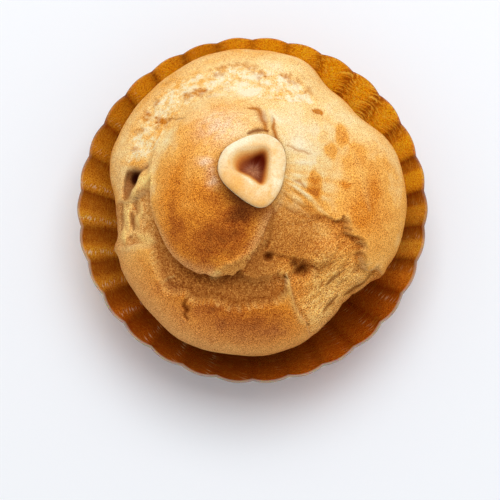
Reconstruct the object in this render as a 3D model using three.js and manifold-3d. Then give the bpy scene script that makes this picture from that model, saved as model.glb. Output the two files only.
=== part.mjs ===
// A choux puff topped with a hazelnut half, sitting in a thin fluted case.
// Millimetres, +Z up, the case standing on z = 0 and centred on the Z axis.
import * as THREE from "three";
import { mergeVertices } from "three/addons/utils/BufferGeometryUtils.js";
import { ImprovedNoise } from "three/addons/math/ImprovedNoise.js";
import Module from "manifold-3d";

const wasm = await Module();
wasm.setup();

// Fluted case
const caseHeight = 18;
const caseBaseRadius = 26.5;
const caseRimRadius = 36.6;
const caseWall = 0.45;
const caseFillet = 1.6;
const fluteCount = 30;
const fluteDepth = 0.55;
const fluteFullAt = 0.3; // share of the wall's height where the flutes reach full depth
const samplesPerFlute = 6;

// Body of the bun, before its crust breaks up
const pieceGap = 0.35;
const bunSeat = caseWall + pieceGap;
const bunCentre = new THREE.Vector3(0.95, 1.1, 19.5);
const bunGirth = 31.2;
const bunUpper = 19;
const bunLower = 20;
const bunFullness = 2.15;
const bunDetail = 20;
const bunTopDensity = 0.35; // pulls the facets towards the top, where the form is busiest

// Swellings and dents of the bun's outline: azimuth, half width (degrees), size;
// they fade towards the top with this power of the elevation's cosine
const swellFade = 3;
const girthSwells = [
  { at: 122, half: 50, by: 1.5 },
  { at: 42, half: 15, by: -3.4 },
  { at: 59, half: 8.5, by: -2 },
  { at: 181, half: 11, by: -1.9 },
  { at: 193, half: 9, by: -0.8 },
  { at: 244, half: 13, by: 1.2 },
  { at: 250, half: 38, by: 0.8 },
  { at: 297, half: 9, by: -1 },
  { at: 313, half: 14, by: -3.3 },
];

// Crown, the last swirl of dough, standing proud of the rest with a broken lip
const crown = { x: -6.5, y: 2, halfX: 13.3, halfY: 18, lip: 1.7, rise: 4.6 };
const crownLipWidth = 0.07;
const crownSoftWidth = 0.5;
const crownSoftTowards = 75; // azimuth on which the crown runs softly into the shoulder
const crownSoftSpread = 75;
const apex = { x: -1.2, y: 3, half: 11, by: 2.4 };

// Tear where the crust opened, as points round its edge
const tearDepth = 2.5;
const tearEdge = 0.7;
const tearCurl = 0.5;
const tearCurlReach = 1.6;
const tearPoints = [
  [-21.7, 6.3], [-25.4, 3.2], [-27.6, -3], [-26.6, -8.2], [-22.6, -9.6], [-20.6, -14.2],
  [-14.3, -20.5], [-7.7, -20.8], [-0.5, -22.1], [5.2, -20.2], [7.9, -17.4], [11.1, -25],
  [19, -26], [27.5, -15.5], [22, -11], [17.7, -4.9], [13.2, -1.4], [4, -2], [-10, 0],
];
const tearSamples = 120;

// Swell in the tear and the holes under its edge
const midSwell = { x: 9.8, y: -7, halfX: 7.8, halfY: 6.3, lip: 1.2, rise: 1.6 };
const midSwellLipWidth = 0.09;
const pits = [
  { x: 3.4, y: -12.6, half: 1.3, by: -1.8 },
  { x: 9.7, y: -14.2, half: 2.1, by: -2.4 },
  { x: -25.2, y: 4.6, half: 2.0, by: -3.6 },
  { x: -13.1, y: -22.4, half: 1.2, by: -1.2 },
];

// Small relief of the surface: size across, depth and slice of the noise
const raggedness = { size: 4.2, by: 0.9, layerX: 3, layerY: 60 };
const lumps = { size: 11, by: 0.55 };
const crumbRelief = { size: 2.6, by: 0.55, layer: 20 };
const fibre = { size: 1.9, length: 9, azimuth: 36, by: 0.5 };
const reliefFrom = 0; // sine of the elevation where the broken crust starts
const reliefFull = 0.4;

// Hazelnut half, cut face up
const nut = { x: -0.1, y: 3.7, z: 46.4, tiltX: -4, tiltY: 4 };
const nutRadius = 6.95;
const nutDepth = 5.6;
const nutLipRadius = 5.2;
const nutLipRise = 1.4;
const nutShoulderRise = 1.2;
const nutHollowRadius = 1.4;
const nutHollowDepth = 4.2;
const nutHollowSide = 4; // depth of the hollow at its floor's edge
const nutCorners = 3;
const nutCornerShare = 0.07;
const nutHollowCornerShare = 0.24;
const nutCornerTowards = 48;
const nutSides = 36;
const nutBellySteps = 5;
const nutLipSteps = 9;
const nutSeatGap = 0.3;
const nutSeatHeadroom = 12;

const weldDistance = 1e-4;

const noiseField = new ImprovedNoise();
const radians = THREE.MathUtils.degToRad;
const smooth = THREE.MathUtils.smoothstep;

function noise(x, y, z, size) {
  return noiseField.noise(x / size, y / size, z / size);
}

// Angle between two azimuths in degrees, 0 to 180
function apart(a, b) {
  const gap = Math.abs(a - b) % 360;
  return Math.min(gap, 360 - gap);
}

function bell(distance, half) {
  return Math.exp(-((distance / half) ** 2));
}

// Closed mesh with shared vertices, ready to join and cut
function weld(geometry) {
  geometry.deleteAttribute("normal");
  geometry.deleteAttribute("uv");
  return mergeVertices(geometry, weldDistance);
}

function toManifold(geometry) {
  return new wasm.Manifold(new wasm.Mesh({
    numProp: 3,
    vertProperties: new Float32Array(geometry.attributes.position.array),
    triVerts: new Uint32Array(geometry.index.array),
  }));
}

function toGeometry(solid) {
  const mesh = solid.getMesh();
  const geometry = new THREE.BufferGeometry();
  geometry.setAttribute("position", new THREE.BufferAttribute(new Float32Array(mesh.vertProperties), 3));
  geometry.setIndex(new THREE.BufferAttribute(new Uint32Array(mesh.triVerts), 1));
  return geometry;
}

// Round solid from a profile of [radius, height] points, turned about Z
function turned(profile, sides) {
  const geometry = new THREE.LatheGeometry(profile.map(([r, z]) => new THREE.Vector2(r, z)), sides);
  return weld(geometry.rotateX(Math.PI / 2));
}

function moveEach(geometry, change) {
  const position = geometry.attributes.position;
  const point = new THREE.Vector3();
  for (let i = 0; i < position.count; i += 1) {
    change(point.fromBufferAttribute(position, i));
    position.setXYZ(i, point.x, point.y, point.z);
  }
  return geometry;
}

// Round lobes outwards with narrow notches between them, from -0.5 to 0.5
function fluteWave(azimuth) {
  return Math.abs(Math.cos((azimuth * fluteCount) / 2)) - 0.5;
}

function caseProfile() {
  const slope = Math.atan2(caseRimRadius - caseBaseRadius, caseHeight);
  const foot = caseBaseRadius - caseFillet;
  const filletTop = [foot + caseFillet * Math.cos(slope), caseFillet * (1 - Math.sin(slope))];
  const filletMid = [foot + caseFillet * Math.sin(Math.PI / 4), caseFillet * (1 - Math.cos(Math.PI / 4))];
  const rim = [caseRimRadius, caseHeight];
  const low = filletTop.map((value, i) => THREE.MathUtils.lerp(value, rim[i], fluteFullAt));
  const inset = ([r, z]) => [r - caseWall * Math.cos(slope), z + caseWall * Math.sin(slope)];
  const innerRim = [caseRimRadius - caseWall / Math.cos(slope), caseHeight];
  return [
    [0, 0], [foot, 0], filletMid, filletTop, low, rim,
    innerRim, inset(low), inset(filletTop), [filletMid[0] - caseWall / 2, filletMid[1] + caseWall],
    [foot - caseWall / 2, caseWall], [0, caseWall],
  ];
}

function makeCase() {
  const fluteStart = caseFillet;
  const fluteEnd = caseHeight * fluteFullAt;
  return moveEach(turned(caseProfile(), fluteCount * samplesPerFlute), (point) => {
    const radius = Math.hypot(point.x, point.y);
    if (radius < caseBaseRadius - caseFillet) return;
    const grown = radius + fluteDepth * fluteWave(Math.atan2(point.y, point.x))
      * smooth(point.z, fluteStart, fluteEnd);
    point.x *= grown / radius;
    point.y *= grown / radius;
  });
}

const tearOutline = new THREE.CatmullRomCurve3(
  tearPoints.map(([x, y]) => new THREE.Vector3(x, y, 0)), true, "centripetal",
).getPoints(tearSamples);

// Distance from a point to the tear's edge, negative inside the tear
function tearDistance(x, y) {
  let nearest = Infinity;
  let inside = false;
  for (let i = 0; i < tearSamples; i += 1) {
    const a = tearOutline[i];
    const b = tearOutline[i + 1];
    const along = THREE.MathUtils.clamp(
      ((x - a.x) * (b.x - a.x) + (y - a.y) * (b.y - a.y)) / a.distanceToSquared(b), 0, 1);
    nearest = Math.min(nearest, Math.hypot(a.x + along * (b.x - a.x) - x, a.y + along * (b.y - a.y) - y));
    if (a.y > y !== b.y > y && x < a.x + ((b.x - a.x) * (y - a.y)) / (b.y - a.y)) inside = !inside;
  }
  return inside ? -nearest : nearest;
}

// Share of a swell's half size at which a point lies: 0 in its middle, 1 on its edge
function reach(swell, x, y) {
  return Math.hypot((x - swell.x) / swell.halfX, (y - swell.y) / swell.halfY);
}

function swellHeight(swell, x, y, lipWidth) {
  const share = reach(swell, x, y);
  const edge = 1 - smooth(share, 1 - lipWidth, 1 + lipWidth);
  return edge * (swell.lip + swell.rise * Math.max(0, 1 - share * share));
}

function crownHeight(x, y) {
  const azimuth = THREE.MathUtils.radToDeg(Math.atan2(y - crown.y, x - crown.x));
  const soft = bell(apart(azimuth, crownSoftTowards), crownSoftSpread);
  const lipWidth = THREE.MathUtils.lerp(crownLipWidth, crownSoftWidth, soft);
  return swellHeight(crown, x, y, lipWidth) + apex.by * bell(Math.hypot(x - apex.x, y - apex.y), apex.half);
}

// Lines of pulled dough that run round the torn side
function fibreHeight(x, y) {
  const lean = radians(fibre.azimuth);
  const along = (x * Math.cos(lean) + y * Math.sin(lean)) / fibre.length;
  const across = (y * Math.cos(lean) - x * Math.sin(lean)) / fibre.size;
  return fibre.by * noiseField.noise(along, across, 0);
}

// Height of the broken crust above the plain body, over a point seen from above
function crustHeight(x, y) {
  const wornX = x + raggedness.by * noise(x, y, raggedness.layerX, raggedness.size);
  const wornY = y + raggedness.by * noise(x, y, raggedness.layerY, raggedness.size);
  const toTear = tearDistance(wornX, wornY);
  const torn = 1 - smooth(toTear, -tearEdge, tearEdge);
  const onCrown = 1 - smooth(reach(crown, wornX, wornY), 1 - crownLipWidth, 1 + crownLipWidth);
  const open = torn * (1 - onCrown);
  const crumb = crumbRelief.by * noise(x, y, crumbRelief.layer, crumbRelief.size) + fibreHeight(x, y);
  let height = crownHeight(wornX, wornY) + open * (crumb - tearDepth);
  height += (1 - torn) * (1 - onCrown) * tearCurl * bell(toTear, tearCurlReach);
  height += open * swellHeight(midSwell, wornX, wornY, midSwellLipWidth);
  pits.forEach((pit) => { height += pit.by * bell(Math.hypot(x - pit.x, y - pit.y), pit.half); });
  return height;
}

function girthAt(azimuth, fade) {
  return girthSwells.reduce(
    (sum, swell) => sum + fade * swell.by * bell(apart(azimuth, swell.at), swell.half), bunGirth);
}

// Distance from the bun's centre to its surface along a unit direction
function bunReach(direction) {
  const azimuth = THREE.MathUtils.radToDeg(Math.atan2(direction.y, direction.x));
  const flat = Math.hypot(direction.x, direction.y);
  const level = flat / girthAt(azimuth, flat ** swellFade);
  const upright = Math.abs(direction.z) / (direction.z > 0 ? bunUpper : bunLower);
  const body = (level ** bunFullness + upright ** bunFullness) ** (-1 / bunFullness);
  const x = bunCentre.x + body * direction.x;
  const y = bunCentre.y + body * direction.y;
  const z = bunCentre.z + body * direction.z;
  const upper = smooth(direction.z, reliefFrom, reliefFull);
  const whole = body + upper * crustHeight(x, y) + lumps.by * noise(x, y, z, lumps.size);
  const toSeat = direction.z < 0 ? (bunSeat - bunCentre.z) / direction.z : Infinity;
  return Math.min(whole, toSeat);
}

function makeBun() {
  const ball = weld(new THREE.IcosahedronGeometry(1, bunDetail));
  moveEach(ball, (point) => {
    point.z += bunTopDensity;
    point.normalize().multiplyScalar(bunReach(point)).add(bunCentre);
  });
  return toGeometry(toManifold(ball).subtract(toManifold(placeNut(makeNutSeat()))));
}

function nutProfile() {
  const belly = new THREE.EllipseCurve(0, 0, nutRadius, nutDepth, -Math.PI / 2, 0);
  const lip = new THREE.SplineCurve([
    new THREE.Vector2(nutRadius, 0),
    new THREE.Vector2((nutRadius + nutLipRadius) / 2, nutShoulderRise),
    new THREE.Vector2(nutLipRadius, nutLipRise),
    new THREE.Vector2((nutLipRadius + nutHollowRadius) / 2, 0),
    new THREE.Vector2(nutHollowRadius, nutLipRise - nutHollowSide),
    new THREE.Vector2(0, nutLipRise - nutHollowDepth),
  ]);
  const points = [...belly.getPoints(nutBellySteps), ...lip.getPoints(nutLipSteps).slice(1)];
  return points.map((p) => [Math.max(0, p.x), p.y]);
}

// Turns a round shape into one with soft corners, stronger towards the hollow
function cornered(geometry) {
  return moveEach(geometry, (point) => {
    const radius = Math.hypot(point.x, point.y);
    const azimuth = Math.atan2(point.y, point.x) - radians(nutCornerTowards);
    const inHollow = point.z > -nutHollowDepth ? 1 - smooth(radius, nutHollowRadius, nutLipRadius) : 0;
    const share = THREE.MathUtils.lerp(nutCornerShare, nutHollowCornerShare, inHollow);
    const grown = 1 + share * Math.cos(nutCorners * azimuth);
    point.x *= grown;
    point.y *= grown;
  });
}

// Space that the nut takes up in the bun, open upwards
function makeNutSeat() {
  const radius = nutRadius + nutSeatGap;
  const belly = new THREE.EllipseCurve(0, 0, radius, nutDepth + nutSeatGap, -Math.PI / 2, 0);
  const profile = belly.getPoints(nutBellySteps).map((p) => [Math.max(0, p.x), p.y]);
  return cornered(turned([...profile, [radius, nutSeatHeadroom], [0, nutSeatHeadroom]], nutSides));
}

function placeNut(geometry) {
  return geometry.rotateX(radians(nut.tiltX)).rotateY(radians(nut.tiltY)).translate(nut.x, nut.y, nut.z);
}

function piece(name, geometry, color, roughness) {
  geometry.computeVertexNormals();
  const mesh = new THREE.Mesh(geometry, new THREE.MeshStandardMaterial({ color, roughness, metalness: 0 }));
  mesh.name = name;
  return mesh;
}

const puff = new THREE.Group();
puff.name = "cream_puff";
puff.add(
  piece("pastry_case", makeCase(), 0xa8560f, 0.25),
  piece("choux_bun", makeBun(), 0xdca052, 0.6),
  piece("hazelnut_half", placeNut(cornered(turned(nutProfile(), nutSides))), 0xf0cf9a, 0.5),
);

export default puff;
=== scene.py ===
import math
import bpy
import numpy as np
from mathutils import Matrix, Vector, noise


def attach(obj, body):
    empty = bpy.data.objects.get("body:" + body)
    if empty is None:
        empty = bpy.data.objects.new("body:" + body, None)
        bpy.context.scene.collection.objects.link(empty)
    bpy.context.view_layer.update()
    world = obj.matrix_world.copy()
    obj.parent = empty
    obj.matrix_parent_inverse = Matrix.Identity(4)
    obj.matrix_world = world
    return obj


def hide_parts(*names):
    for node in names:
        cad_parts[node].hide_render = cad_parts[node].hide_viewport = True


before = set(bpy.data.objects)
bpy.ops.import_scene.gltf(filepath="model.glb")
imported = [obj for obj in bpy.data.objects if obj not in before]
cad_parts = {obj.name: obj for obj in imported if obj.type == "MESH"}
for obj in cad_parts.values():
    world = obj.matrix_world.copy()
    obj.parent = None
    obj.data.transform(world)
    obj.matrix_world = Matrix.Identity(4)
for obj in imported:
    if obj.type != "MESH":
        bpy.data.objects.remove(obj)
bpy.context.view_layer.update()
mm = 0.001  # the values below are in mm, Blender is in metres
tiny = 1e-4
weightSteps = 20  # steps of weight in a vertex group
strokeEnd = 0.4  # width of a stroke at its ends, as a share of its middle
scene = bpy.context.scene
print("frame loaded:", ", ".join(sorted(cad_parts)))


# small helpers

def addPrimitive(name, operator, **sizes):
    bpy.ops.object.select_all(action="DESELECT")
    operator(**sizes)
    piece = bpy.context.object
    piece.name = piece.data.name = name
    return piece


def getPlaces(piece):  # vertices in mm
    flat = np.empty(3 * len(piece.data.vertices))
    piece.data.vertices.foreach_get("co", flat)
    return flat.reshape(-1, 3) / mm


def setPlaces(piece, places):
    piece.data.vertices.foreach_set("co", (places * mm).ravel())
    piece.data.update()


def paint(piece, masks):  # one number for each vertex and mask, read by the material
    for name, values in masks.items():
        layer = piece.data.attributes.new(name, "FLOAT", "POINT")
        layer.data.foreach_set("value", np.asarray(values, np.float32))


def weigh(piece, name, values):  # vertex group in steps of weight
    group = piece.vertex_groups.new(name=name)
    steps = np.round(np.clip(values, 0, 1) * weightSteps).astype(int)
    for step in range(1, weightSteps + 1):
        group.add(np.flatnonzero(steps == step).tolist(), step / weightSteps, "REPLACE")


def applyModifier(piece, kind, **settings):
    modifier = piece.modifiers.new(kind.capitalize(), kind)
    for key, value in settings.items():
        setattr(modifier, key, value)
    bpy.context.view_layer.objects.active = piece
    bpy.ops.object.modifier_apply(modifier=modifier.name)


def clouds(name, size):
    texture = bpy.data.textures.new(name, "CLOUDS")
    texture.noise_scale = size * mm
    texture.noise_depth = 2
    return texture


def rise(value, low, high):  # 0 below low, 1 above high, smooth between
    t = np.clip((value - low) / (high - low), 0, 1)
    return t * t * (3 - 2 * t)


def inside(away, edge):  # 1 inside of an edge, 0 outside, smooth between
    return 1 - rise(away, -edge, edge)


def bell(distance, half):
    return np.exp(-(distance / half) ** 2)


def blend(a, b, share):
    return a + (b - a) * share


def spot(x, y, px, py, half):  # 1 at a point, fading round it
    return bell(np.hypot(x - px, y - py), half)


def oval(x, y, px, py, halfX, halfY):
    return np.exp(-((x - px) / halfX) ** 2 - ((y - py) / halfY) ** 2)


def degreesOf(x, y):
    return np.degrees(np.arctan2(y, x))


def fromMiddle(form, places):  # distance and direction from a form's middle, in mm and degrees
    x, y = places[:, 0] - form["x"], places[:, 1] - form["y"]
    return np.hypot(x, y), degreesOf(x, y)


def facing(degrees, at, spread):  # 1 in a direction, fading to its sides
    away = np.abs(degrees - at) % 360
    return bell(np.minimum(away, 360 - away), spread)


def allFacing(degrees, directions):  # each has a direction, a spread and a strength
    return sum(by * facing(degrees, at, spread) for at, spread, by in directions)


def onRing(azimuth, radius, z):
    return np.stack([radius * np.cos(azimuth), radius * np.sin(azimuth), z], 1)


def ruffle(places, by, size, layer):  # noise of that height and size at each place
    return by * np.array([noise.noise(Vector(p)) for p in places / size + layer])


def shaken(places, *shakes):  # x and y moved a little, so that edges drawn with them are uneven
    flat = places * (1, 1, 0)
    x, y = places[:, 0], places[:, 1]
    for by, size, layerX, layerY in shakes:
        x = x + ruffle(flat, by, size, layerX)
        y = y + ruffle(flat, by, size, layerY)
    return x, y


def pathNear(x, y, path):  # distance to a path, and how far along it, 0 to 1
    nearest = np.full(len(x), np.inf)
    along = np.zeros(len(x))
    lengths = [math.dist(a, b) for a, b in zip(path, path[1:])]
    start = 0.0
    for (ax, ay), (bx, by), length in zip(path, path[1:], lengths):
        share = np.clip(((x - ax) * (bx - ax) + (y - ay) * (by - ay)) / length ** 2, 0, 1)
        away = np.hypot(ax + share * (bx - ax) - x, ay + share * (by - ay) - y)
        along = np.where(away < nearest, (start + share * length) / sum(lengths), along)
        nearest = np.minimum(away, nearest)
        start += length
    return nearest, along


def stroke(x, y, path, width):  # 1 along a path, 0 beside it, thinner towards its ends
    away, along = pathNear(x, y, path)
    return bell(away, width * blend(strokeEnd, 1, np.sin(math.pi * along)))


def roundLoop(points, steps):  # closed smooth curve through the points
    b = np.array(points, float)[:, None, :]
    a, c, d = np.roll(b, 1, 0), np.roll(b, -1, 0), np.roll(b, -2, 0)
    t = np.linspace(0, 1, steps, endpoint=False)[None, :, None]
    bend = (2 * a - 5 * b + 4 * c - d) * t ** 2 + (3 * b - a - 3 * c + d) * t ** 3
    curve = (0.5 * (2 * b + (c - a) * t + bend)).reshape(-1, 2)
    return np.vstack([curve, curve[:1]])


def loopDistance(x, y, points, steps=3):  # distance to a smooth loop, negative inside
    loop = roundLoop(points, steps)
    isInside = np.zeros(len(x), bool)
    for (ax, ay), (bx, by) in zip(loop, loop[1:]):
        if ay != by:
            isInside ^= ((ay > y) != (by > y)) & (x < ax + (bx - ax) * (y - ay) / (by - ay))
    nearest = pathNear(x, y, loop)[0]
    return np.where(isInside, -nearest, nearest)


def reach(form, x, y):  # 0 in the middle of an oval form, 1 on its edge
    return np.hypot((x - form["x"]) / form["halfX"], (y - form["y"]) / form["halfY"])


# node helpers

def newMaterial(name):
    material = bpy.data.materials.new(name)
    material.use_nodes = True
    return material, material.node_tree, material.node_tree.nodes["Principled BSDF"]


def plug(tree, node, inputs):  # links sockets and sets plain values
    for key, value in inputs.items():
        if isinstance(value, bpy.types.NodeSocket):
            tree.links.new(value, node.inputs[key])
        else:
            node.inputs[key].default_value = value


def addNode(tree, kind, inputs=None, **settings):
    node = tree.nodes.new(kind)
    for key, value in settings.items():
        setattr(node, key, value)
    plug(tree, node, inputs or {})
    return node


def objectPlace(tree):
    return addNode(tree, "ShaderNodeTexCoord").outputs["Object"]


def attribute(tree, name):
    return addNode(tree, "ShaderNodeAttribute", attribute_name=name).outputs["Fac"]


def maths(tree, operation, a, b, c=0.0, clamp=False):
    node = addNode(tree, "ShaderNodeMath", {0: a, 1: b, 2: c}, operation=operation, use_clamp=clamp)
    return node.outputs[0]


def vectorMaths(tree, operation, a, b):
    return addNode(tree, "ShaderNodeVectorMath", {0: a, 1: b}, operation=operation).outputs[0]


def stretch(tree, value, low, high, toLow=0.0, toHigh=1.0):
    return addNode(tree, "ShaderNodeMapRange", {"Value": value, "From Min": low, "From Max": high,
                                                "To Min": toLow, "To Max": toHigh}).outputs[0]


def tint(tree, factor, a, b, blendType="MIX"):
    node = addNode(tree, "ShaderNodeMix", {0: factor, 6: a, 7: b}, data_type="RGBA", blend_type=blendType)
    return node.outputs[2]


def tintByMasks(tree, colour, tints):  # each has a painted mask, a strength and a colour
    for name, strength, towards in tints:
        share = maths(tree, "MULTIPLY", attribute(tree, name), strength, clamp=True)
        colour = tint(tree, share, colour, rgb(*towards))
    return colour


def noiseMap(tree, place, size, detail, roughness):  # size of the blotches in mm
    node = addNode(tree, "ShaderNodeTexNoise",
                   {"Vector": place, "Scale": 1 / (size * mm), "Detail": detail, "Roughness": roughness})
    return node.outputs["Fac"]


def bumpOf(tree, height, strength, depth):  # depth in mm
    node = addNode(tree, "ShaderNodeBump", {"Strength": strength, "Distance": depth * mm, "Height": height})
    return node.outputs[0]


def ramp(tree, factor, stops):
    node = addNode(tree, "ShaderNodeValToRGB", {"Fac": factor})
    while len(node.color_ramp.elements) < len(stops):
        node.color_ramp.elements.new(0.5)
    for element, (at, colour) in zip(node.color_ramp.elements, stops):
        element.position = at
        element.color = rgb(*colour)
    return node.outputs["Color"]


def rgb(red, green, blue):  # screen colour 0 to 255 as Blender's linear colour
    parts = [c / 255 for c in (red, green, blue)]
    return tuple(c / 12.92 if c < 0.04045 else ((c + 0.055) / 1.055) ** 2.4 for c in parts) + (1.0,)


# fine grain shared by crust, nut and case: a tone to multiply with and a height for the bump
grain = {
    "detail": 4, "roughness": 0.8, "from": 0.3, "to": 0.7, "pitScale": 0.55, "pitDepth": 0.35,
    "swing": {"Red": 0.5, "Green": 0.8, "Blue": 1},
    "sockets": [("Place", "INPUT", "Vector"), ("Size", "INPUT", "Float"), ("Depth", "INPUT", "Float"),
                ("Tone", "OUTPUT", "Color"), ("Height", "OUTPUT", "Float")],
}


def makeGrainGroup():
    group = bpy.data.node_groups.new("fineGrain", "ShaderNodeTree")
    for name, way, kind in grain["sockets"]:
        group.interface.new_socket(name, in_out=way, socket_type="NodeSocket" + kind)
    given = addNode(group, "NodeGroupInput").outputs
    scale = maths(group, "DIVIDE", 1, given["Size"])
    sand = addNode(group, "ShaderNodeTexNoise", {
        "Vector": given["Place"], "Scale": scale, "Detail": grain["detail"],
        "Roughness": grain["roughness"]}).outputs["Fac"]
    pitScale = maths(group, "MULTIPLY", scale, grain["pitScale"])
    pits = addNode(group, "ShaderNodeTexVoronoi", {"Vector": given["Place"], "Scale": pitScale})
    height = maths(group, "MULTIPLY_ADD", pits.outputs["Distance"], grain["pitDepth"], sand)
    swing = maths(group, "MULTIPLY", stretch(group, sand, grain["from"], grain["to"], -1), given["Depth"])
    parts = {name: maths(group, "MULTIPLY_ADD", swing, by, 1) for name, by in grain["swing"].items()}
    tone = addNode(group, "ShaderNodeCombineColor", parts).outputs[0]
    addNode(group, "NodeGroupOutput", {"Tone": tone, "Height": height})
    return group


fineGrain = makeGrainGroup()


def placeGrain(tree, place, size, depth):  # size in mm, depth is how dark the grain gets
    inputs = {"Place": place, "Size": size * mm, "Depth": depth}
    return addNode(tree, "ShaderNodeGroup", inputs, node_tree=fineGrain).outputs


# hazelnut half, cut face up on the crown
nut = {
    "x": 0.1, "y": 3.7, "z": 46.4, "tiltX": -4, "tiltY": 4, "radius": 6.85, "depth": 5.6,
    "segments": 144, "rings": 128, "faceSpread": 1.4, "cornerShare": 0.095, "cornerTowards": 50,
    "outline": [(172, 28, -0.07), (279, 17, 0.07), (85, 30, 0.035)],  # direction, spread, swell
    "uneven": (0.03, 4.5, 7.3),  # height, size and layer of noise
    "lipHeight": 1.4, "lipFrom": 0.62, "lipPower": 2.3,
    "hollow": [
        (-2.1, 0.1), (-1, 1.3), (0.6, 2.6), (1.9, 3.2), (2.3, 2.6), (2.2, 0.3), (2, -1.8), (1.6, -2.8),
        (0.8, -2.3), (-0.3, -1.5), (-1.5, -0.7),
    ],
    "hollowSteps": 4, "hollowDepth": 3.8, "hollowInner": 1.3, "shadeInner": 0.9, "shadeOuter": 0.9,
    "steepOut": 1.5, "gentleOut": 4.2, "gentle": (145, 45),  # where the hollow's side is gentle
    "coreShade": (1.2, 1.3, 2.2), "floor": (0.1, -0.4, 1.5), "floorRise": 0.7,  # x, y, half width; the core is painted shade at the hollow's deepest part
    "crease": [(-2, 0), (-4.2, -0.5), (-6.4, -0.3)], "creaseWidth": 0.28, "creaseDepth": 0.25,
    "streakTurns": 3, "streakAcross": 0.2, "streaks": (1, 0.3, 2), "streakDepth": 0.1,
    "goldenAndShade": [(222, 48, 1, 0.35, 0.7), (282, 18, 0.55, 0.6, 0.85)],  # golden flesh, partly painted shade on the lower side: direction, spread, strength, from, to
    "goldenInside": (60, 40, 0.7, 0.62, 0.22),  # the same, with a middle and a half width at the end
    # painted highlight on the upper-left lip: direction and spread, then where across the face it shows
    "paintedHighlight": (118, 50), "highlightAcross": (0.66, 0.84), "under": (-3.5, 0.2),
    "skinBase": 0.7, "skinStreak": 0.9,
}
nutLook = {
    "grain": (0.3, 0.3), "blotches": (2, 6, 0.7), "blotchEdge": (0.35, 0.68),
    "flesh": (255, 238, 196), "tan": (246, 194, 118),
    "fleshTints": [("goldenAndShade", 0.85, (248, 180, 86)), ("paintedHighlight", 0.8, (255, 244, 212)),
                   ("under", 1, (224, 172, 104))],
    # the hollow's own brown, deepening inwards partly as painted shade
    "deep": [(0.05, (254, 220, 158)), (0.25, (248, 192, 112)), (0.5, (222, 140, 62)), (0.75, (168, 88, 38)),
             (1, (140, 68, 34))],
    "hollowFirm": 6, "hollowTints": [("coreShade", 1.8, (102, 22, 0)), ("skin", 0.7, (226, 160, 112))],
    "sockets": {"Roughness": 0.42, "Specular IOR Level": 0.15}, "bump": (0.25, 0.15),
}


def nutPlaces(places):  # from the nut's own place to where it sits
    tiltX, tiltY = math.radians(nut["tiltX"]), math.radians(nut["tiltY"])
    x, y, z = places.T
    y, z = y * math.cos(tiltX) - z * math.sin(tiltX), y * math.sin(tiltX) + z * math.cos(tiltX)
    x, z = x * math.cos(tiltY) + z * math.sin(tiltY), z * math.cos(tiltY) - x * math.sin(tiltY)
    return np.stack([x + nut["x"], y + nut["y"], z + nut["z"]], 1)


def nutReach(degrees):  # radius of the outline, a circle with three soft corners
    corners = nut["cornerShare"] * np.cos(3 * np.radians(degrees - nut["cornerTowards"]))
    return nut["radius"] * (1 + corners + allFacing(degrees, nut["outline"]))


def nutFace(x, y, across):  # height of the cut face, and masks of the hollow, of its core's painted shade and of its streaked floor
    over = np.clip((across - nut["lipFrom"]) / (1 - nut["lipFrom"]), 0, 1)
    lip = nut["lipHeight"] * (1 - over ** nut["lipPower"]) ** (1 / nut["lipPower"])
    away = loopDistance(x, y, nut["hollow"], nut["hollowSteps"])
    end = blend(nut["steepOut"], nut["gentleOut"], facing(degreesOf(x, y), *nut["gentle"]))
    coreShade, floor = spot(x, y, *nut["coreShade"]), spot(x, y, *nut["floor"])
    sunk = 1 - rise(away, -nut["hollowInner"], end)
    line = stroke(x, y, nut["crease"], nut["creaseWidth"])
    height = lip - nut["hollowDepth"] * sunk + nut["floorRise"] * floor - nut["creaseDepth"] * line
    return height, 1 - rise(away, -nut["shadeInner"], nut["shadeOuter"] * end), coreShade, floor


def makeNut():
    piece = addPrimitive("hazelnutHalf", bpy.ops.mesh.primitive_uv_sphere_add,
                         segments=nut["segments"], ring_count=nut["rings"], radius=mm)
    sphere = getPlaces(piece)
    azimuth = np.arctan2(sphere[:, 1], sphere[:, 0])
    degrees = np.degrees(azimuth)
    upward = np.arcsin(np.clip(sphere[:, 2], -1, 1)) / (math.pi / 2)  # 0 at the outline, 1 mid face
    onFace = upward > tiny
    across = np.where(onFace, 1 - np.abs(upward) ** nut["faceSpread"], np.cos(upward * math.pi / 2))
    places = onRing(azimuth, nutReach(degrees) * across, 0 * across)
    face, hollow, coreShade, floor = nutFace(places[:, 0], places[:, 1], across)
    streaks = ruffle(onRing(azimuth, nut["streakTurns"], nut["streakAcross"] * across), *nut["streaks"])
    face = face + nut["streakDepth"] * streaks * floor
    places[:, 2] = np.where(onFace, face, nut["depth"] * np.sin(upward * math.pi / 2))
    goldenAndShade = sum(by * facing(degrees, at, spread) * rise(across, low, high)
                 for at, spread, by, low, high in nut["goldenAndShade"])
    at, spread, by, middle, half = nut["goldenInside"]
    goldenAndShade += by * facing(degrees, at, spread) * bell(across - middle, half)
    paint(piece, {
        "hollow": hollow * onFace,
        "coreShade": hollow * coreShade * onFace,
        "skin": np.clip(floor * hollow * onFace * (nut["skinBase"] + nut["skinStreak"] * streaks), 0, 1),
        "goldenAndShade": np.minimum(goldenAndShade, 1) * onFace,
        "paintedHighlight": facing(degrees, *nut["paintedHighlight"]) * rise(across, *nut["highlightAcross"]) * onFace,
        "under": np.where(onFace, 0, 1 - rise(places[:, 2], *nut["under"])),
    })
    places *= 1 + ruffle(places, *nut["uneven"])[:, None]
    setPlaces(piece, nutPlaces(places))
    bpy.ops.object.shade_smooth()
    return piece


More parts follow.
